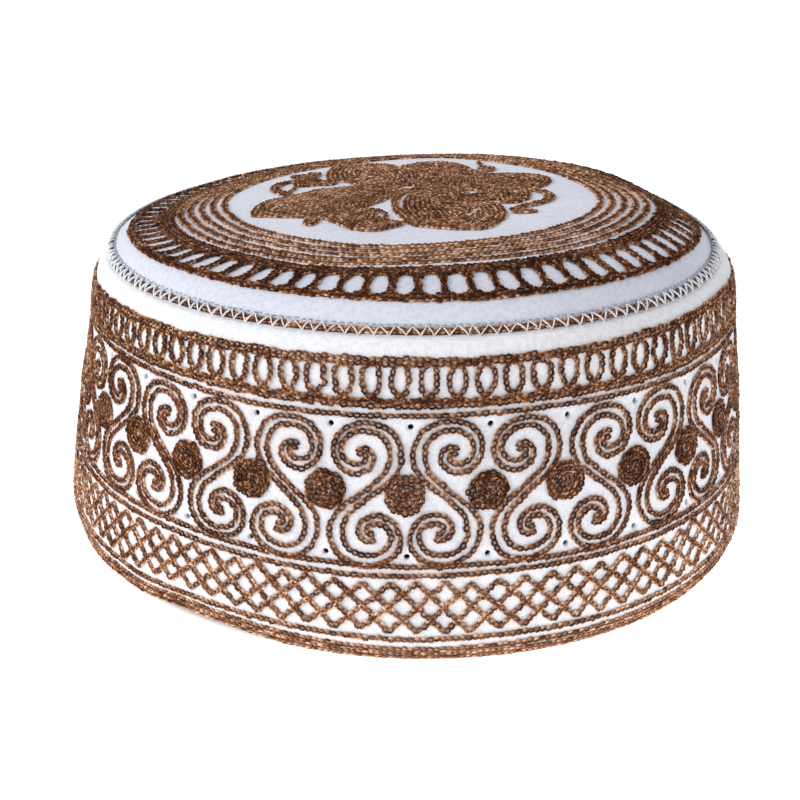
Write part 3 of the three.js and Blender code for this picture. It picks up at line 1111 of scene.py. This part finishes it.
def side_cloth(material):
    """Side band's cloth: a closed wall with a rounded rim and the eyelets open through it."""
    rows = side_rows()
    run, turn = cloth_grid(rows, SIDE_COLUMNS)
    outer, _ = side_place(run, turn)
    inner, _ = side_place(run, turn, -CLOTH_THICKNESS)
    inner[0, :, 2] = outer[0, :, 2]
    vertices = [np.concatenate([outer, inner[::-1]]).reshape(-1, 3)]
    count = len(vertices[0])
    ring = 2 * len(rows)
    whole = np.ones((ring, SIDE_COLUMNS), dtype=bool)
    faces = []
    for height in EYELET_HEIGHTS:
        row = int(np.argmin(abs(rows - height)))
        for unit_number in range(UNITS_AROUND):
            even = np.array(unit_number * UNIT_PITCH + EYELET_SHIFT)
            around, middle = (float(value) for value in drifted(even, np.array(height)))
            column = round(around / PATTERN_AROUND * SIDE_COLUMNS) % SIDE_COLUMNS
            points = eyelet_points(around, middle)
            new = (count + np.arange(len(points))).reshape(-1, BLOCK_SPOTS)
            ends = [block_edge(row, column, 1), block_edge(ring - 1 - row, column, -1)]
            for level in (row, ring - 1 - row):
                whole[np.ix_((level + BLOCK) % ring, (column + BLOCK) % SIDE_COLUMNS)] = False
            faces.append(ring_faces(np.vstack([ends[0], new, ends[1]])))
            vertices.append(points)
            count += len(points)
    grid = grid_faces(ring, SIDE_COLUMNS)[whole.ravel()]
    return write_mesh("side_cloth", np.concatenate(vertices), np.concatenate([grid, *faces]), material)


def fan(row, middle):
    """Quads that join a row of the crown's grid to a middle vertex."""
    spots = (np.arange(0, CROWN_COLUMNS, 2)[:, None] + np.arange(3)) % CROWN_COLUMNS
    return np.column_stack([row * CROWN_COLUMNS + spots, np.full(len(spots), middle)])


def crown_cloth(material):
    """Crown's cloth: a closed shell from the seam to the middle."""
    last = crown_face.run[-1] - CROWN_MIDDLE_GAP
    run, turn = cloth_grid(np.linspace(SEAM_HALF_WIDTH, last, round(last / CROWN_ROW_STEP)), CROWN_COLUMNS)
    ripple = crown_ripple(run, turn)
    outer, _ = crown_face.place(run, turn, ripple)
    inner, _ = crown_face.place(run, turn, ripple - CLOTH_THICKNESS)
    shell = np.concatenate([inner[::-1], outer]).reshape(-1, 3)
    rows = 2 * len(run)
    vertices = np.vstack([shell, outer[-1].mean(axis=0), inner[-1].mean(axis=0)])
    grid = grid_faces(rows, CROWN_COLUMNS)[:-CROWN_COLUMNS]
    faces = np.concatenate([grid, fan(rows - 1, len(shell)), fan(0, len(shell) + 1)[:, ::-1]])
    return write_mesh("crown_cloth", vertices, faces, material)


class Looks:
    """A node material: its shader, the object's own coordinates, and ways to add and join nodes."""

    def __init__(self, name, finish):
        self.material = bpy.data.materials.new(name)
        self.material.use_nodes = True
        self.tree = self.material.node_tree
        self.shader = self.tree.nodes["Principled BSDF"]
        for key, value in finish.items():
            self.shader.inputs[key].default_value = value
        self.place = self.node("ShaderNodeTexCoord", {}).outputs["Object"]

    def join(self, value, node, key):
        """Give a node's input a value or another node's output."""
        if isinstance(value, bpy.types.NodeSocket):
            self.tree.links.new(value, node.inputs[key])
        else:
            node.inputs[key].default_value = value

    def node(self, kind, inputs, **settings):
        """Node of a kind with its settings, and its inputs by number or name."""
        node = self.tree.nodes.new(kind)
        for key, value in settings.items():
            setattr(node, key, value)
        for key, value in inputs.items():
            self.join(value, node, key)
        return node

    def axes(self):
        """How far right, back and up, in metres."""
        return self.node("ShaderNodeSeparateXYZ", {0: self.place}).outputs

    def math(self, operation, *values):
        """Result of a maths node."""
        return self.node("ShaderNodeMath", dict(enumerate(values)), operation=operation).outputs[0]

    def wave(self, value, pitch):
        """Sine wave of a value, one wave for each pitch."""
        return self.math("SINE", self.math("MULTIPLY", value, TURN / pitch))

    def noise(self, scale, detail=2.0):
        """Noise over the object's own coordinates."""
        inputs = {"Vector": self.place, "Scale": scale, "Detail": detail}
        return self.node("ShaderNodeTexNoise", inputs).outputs["Fac"]

    def swing(self, scale, size):
        """Noise about 0, as wide as its size."""
        return self.math("MULTIPLY", self.math("SUBTRACT", self.noise(scale), 0.5), size)

    def attribute(self, name):
        """Value that the mesh holds at each vertex."""
        return self.node("ShaderNodeAttribute", {}, attribute_name=name).outputs["Fac"]

    def ramp(self, value, stops):
        """Colour from a value, by stops of position and colour."""
        node = self.node("ShaderNodeValToRGB", {"Fac": value})
        while len(node.color_ramp.elements) < len(stops):
            node.color_ramp.elements.new(0.5)
        for element, (position, colour) in zip(node.color_ramp.elements, stops):
            element.position = position
            element.color = (*np.broadcast_to(colour, 3), 1)
        return node.outputs["Color"]

    def mix(self, first, second, share=1.0, blend="MULTIPLY"):
        """Colour of two, multiplied or blended."""
        inputs = {0: share, 6: first, 7: second}
        return self.node("ShaderNodeMix", inputs, data_type="RGBA", blend_type=blend).outputs[2]

    def bump(self, height, strength, distance):
        """Bump on the shader from a height."""
        inputs = {"Height": height, "Strength": strength, "Distance": distance}
        self.join(self.node("ShaderNodeBump", inputs).outputs["Normal"], self.shader, "Normal")


def cloth_material(name, around, colours, shade):
    """Fine white cotton with a plain weave, laid around the cap or flat across the crown."""
    looks = Looks(name, CLOTH_FINISH)
    right, back, up = looks.axes()
    warp, weft = right, back
    if around:
        turn = looks.math("ARCTAN2", back, right)
        warp, weft = looks.math("MULTIPLY", turn, PATTERN_RADIUS * METRES), up
    waves = [looks.wave(way, WEAVE_PITCH * METRES) for way in (warp, weft)]
    weave = looks.math("MULTIPLY", looks.math("ADD", *waves), WEAVE_DEPTH)
    looks.bump(looks.math("ADD", weave, looks.noise(2200.0, 3.0)), strength=0.35, distance=0.00012)
    tint = looks.ramp(looks.noise(45.0), colours)
    specks = looks.ramp(looks.noise(900.0, 4.0), CLOTH_SPECKS)
    # The last ramp is painted shade by height above the rim
    looks.join(looks.mix(looks.mix(tint, specks), looks.ramp(up, shade)), looks.shader, "Base Color")
    return looks.material


def thread_material(name, stops, back_stops=None):
    """Embroidery thread: colour by each stitch's tone, with plies and fibres.

    Where back stops are given, the thread takes their colours from a little behind the cap's front.
    """
    looks = Looks(name, THREAD_FINISH)
    blotched = looks.math("ADD", looks.attribute("tone"), looks.swing(scale=260.0, size=0.5))
    shade = looks.math("ADD", blotched, looks.swing(scale=50.0, size=0.35))
    # The tone carries the links' painted shade at their joins and painted highlights between them; this ramp
    # turns it into colour
    colour = looks.ramp(shade, stops)
    if back_stops:
        right, back, up = looks.axes()
        change = {"Value": back, "From Min": SLATE_FROM * METRES, "From Max": SLATE_TO * METRES}
        share = looks.node("ShaderNodeMapRange", change).outputs[0]
        colour = looks.mix(colour, looks.ramp(shade, back_stops), share, "MIX")
    looks.join(colour, looks.shader, "Base Color")
    plies = looks.math("MULTIPLY", looks.wave(looks.attribute("ply"), 1.0), PLY_DEPTH)
    looks.bump(looks.math("ADD", plies, looks.noise(2600.0, 3.0)), strength=0.5, distance=0.00015)
    return looks.material


def sewing_thread(name, colour):
    """Fine sewing thread of one colour, with fibres."""
    looks = Looks(name, SEWING_FINISH)
    dark = [DARK_FIBRES * part for part in colour]
    mottle = looks.ramp(looks.noise(700.0), ((0.35, dark), (0.6, colour)))
    looks.join(mottle, looks.shader, "Base Color")
    looks.bump(looks.noise(2600.0, 3.0), strength=0.3, distance=0.0001)
    return looks.material


def floor_material():
    """Pale floor that glows where the photo's ground throws back most light."""
    looks = Looks("floor", FLOOR_FINISH)
    across = looks.math("ADD", looks.axes()[0], GLOW_SHIFT)
    distance = looks.node("ShaderNodeVectorMath", {0: looks.place}, operation="LENGTH").outputs["Value"]
    away = looks.math("MULTIPLY", distance, GLOW_STRETCH)
    glow = looks.mix(looks.ramp(across, GLOW_ACROSS), looks.ramp(away, GLOW_AWAY))
    looks.join(glow, looks.shader, "Emission Color")
    return looks.material


def set_camera():
    """Camera at the photo's viewing angle."""
    data = bpy.data.cameras.new("camera")
    data.sensor_width = SENSOR_WIDTH
    data.lens = FOCAL_PIXELS / IMAGE_PIXELS * SENSOR_WIDTH
    camera = new_object("camera", data)
    place = Matrix.Translation(Vector(CAMERA_PLACE) * METRES)
    pitch = Matrix.Rotation(math.pi / 2 - CAMERA_PITCH, 4, "X")
    roll = Matrix.Rotation(-CAMERA_ROLL, 4, "Z")
    camera.matrix_world = place @ pitch @ roll
    bpy.context.scene.camera = camera


def add_sun(name, place, spread, power):
    """Soft light from the direction of a place, as wide as its spread in degrees."""
    data = bpy.data.lights.new(name, "SUN")
    data.angle = math.radians(spread)
    data.energy = power
    light = new_object(name, data)
    light.location = place
    light.rotation_euler = (-Vector(place)).to_track_quat("-Z", "Y").to_euler()


def set_stage():
    """Pale floor and soft studio light."""
    mesh = bpy.data.meshes.new("floor")
    low, high = -FLOOR_HALF, FLOOR_HALF
    mesh.from_pydata([(low, low, 0), (high, low, 0), (high, high, 0), (low, high, 0)], [], [(0, 1, 2, 3)])
    mesh.materials.append(floor_material())
    floor = new_object("floor", mesh)
    world = bpy.data.worlds.new("world")
    world.use_nodes = True
    sky = world.node_tree.nodes["Background"]
    sky.inputs["Color"].default_value = (1, 1, 1, 1)
    sky.inputs["Strength"].default_value = SKY_STRENGTH
    bpy.context.scene.world = world
    for sun in SUNS:
        add_sun(*sun)


def dress(piece, slot, *nodes):
    """Piece rides on the cap and stands for the given solids; its slot is not used."""
    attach(piece, "root")
    if nodes:
        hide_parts(*nodes)


set_camera()
set_stage()
bpy.context.scene.view_settings.view_transform = "Standard"
brown = thread_material("brown_thread", BROWN_STOPS)
side_cotton = cloth_material("side_cotton", True, SIDE_CLOTH, SIDE_PAINTED_SHADE)
crown_cotton = cloth_material("crown_cotton", False, CROWN_SHADED_CLOTH, CROWN_PAINTED_SHADE)
dress(side_cloth(side_cotton), "white_cloth", "side_wall")
dress(crown_cloth(crown_cotton), "white_cloth", "crown")
dress(seam_cord(thread_material("cord_thread", BROWN_STOPS, SLATE_STOPS)), "brown_thread", "seam_cord")
dress(seam_zigzag(sewing_thread("white_thread", WHITE_THREAD)), "white_thread")
dress(seam_dashes(sewing_thread("grey_thread", GREY_THREAD)), "white_thread")
dress(seam_braid(thread_material("seam_thread", BROWN_STOPS, SLATE_STOPS)), "brown_thread")
for build in (side_lines, lattice, scrolls, dots, side_ladder, crown_rings, crown_ladder, petals, flourishes):
    dress(build(brown), "brown_thread")
